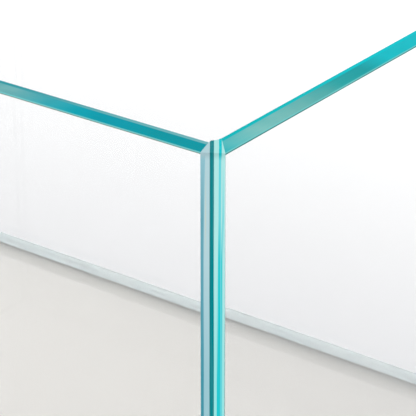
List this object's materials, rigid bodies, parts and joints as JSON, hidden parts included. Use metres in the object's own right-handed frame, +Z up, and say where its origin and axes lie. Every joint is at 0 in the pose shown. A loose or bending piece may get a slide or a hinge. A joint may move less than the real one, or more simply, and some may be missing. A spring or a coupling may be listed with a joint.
{
  "type": "aquarium on stand",
  "caption": "Rimless open-top glass tank with bevelled, clear-bonded corners on a flush two-door cabinet stand with plinth, shelves and rear hose ports.",
  "frame": {"origin": "on the floor, under the middle of the object's bounding box", "axes": "+Z up, -Y the front with the doors, +X the right-hand side seen from the front"},
  "size_m": [0.9, 0.48, 1.08],
  "materials": {
    "glass": "low-iron float glass, polished edges with small arrises",
    "joint_resin": "clear cured joint between bevelled pane ends, blue-green in depth",
    "silicone": "clear silicone, satin",
    "mat_foam": "closed-cell foam, matt off-white",
    "plastic": "moulded, fine matt",
    "catch_plastic": "moulded, white",
    "laminate": "warm white matt lacquer on board",
    "oak_veneer": "pale oiled oak veneer on board",
    "dowel_wood": "fluted beech, unfinished",
    "satin_steel": "brushed, satin",
    "zinc_steel": "bright zinc plated"
  },
  "bodies": {
    "stand": {"back_plinth_rail": "laminate", "base_bead": "silicone", "bottom_board": "laminate", "carcass_dowels": "dowel_wood", "centre_plinth_rail": "laminate", "corner_bead_back_left": "joint_resin", "corner_bead_back_right": "joint_resin", "corner_bead_front_left": "joint_resin", "corner_bead_front_right": "joint_resin", "divider_board": "laminate", "floor_glides": "plastic", "front_plinth_rail": "laminate", "left_back_board": "laminate", "left_frame_leaf_screws": "zinc_steel", "left_frame_leaves": "satin_steel", "left_hinge_pins": "zinc_steel", "left_magnet_catch": "catch_plastic", "left_plinth_rail": "laminate", "left_port_grommet": "plastic", "left_shelf": "oak_veneer", "left_shelf_pins": "zinc_steel", "left_side_board": "laminate", "levelling_mat": "mat_foam", "right_back_board": "laminate", "right_frame_leaf_screws": "zinc_steel", "right_frame_leaves": "satin_steel", "right_hinge_pins": "zinc_steel", "right_magnet_catch": "catch_plastic", "right_plinth_rail": "laminate", "right_port_grommet": "plastic", "right_shelf": "oak_veneer", "right_shelf_pins": "zinc_steel", "right_side_board": "laminate", "tank_back_pane": "glass", "tank_base_pane": "glass", "tank_front_pane": "glass", "tank_left_pane": "glass", "tank_right_pane": "glass", "top_board": "laminate"},
    "left_door": {"left_door_panel": "oak_veneer", "left_handle": "satin_steel", "left_handle_screws": "zinc_steel", "left_strike_plate": "zinc_steel", "left_door_leaves": "satin_steel", "left_door_leaf_screws": "zinc_steel"},
    "right_door": {"right_door_panel": "oak_veneer", "right_handle": "satin_steel", "right_handle_screws": "zinc_steel", "right_strike_plate": "zinc_steel", "right_door_leaves": "satin_steel", "right_door_leaf_screws": "zinc_steel"}
  },
  "joints": [
    {"name": "left_door_hinge", "type": "hinge", "parent": "stand", "child": "left_door", "pos_m": [-0.4305, -0.2145, 0.375], "axis": [0, 0, -1], "range_deg": [0, 170]},
    {"name": "right_door_hinge", "type": "hinge", "parent": "stand", "child": "right_door", "pos_m": [0.4305, -0.2145, 0.375], "axis": [0, 0, 1], "range_deg": [0, 170]}
  ]
}
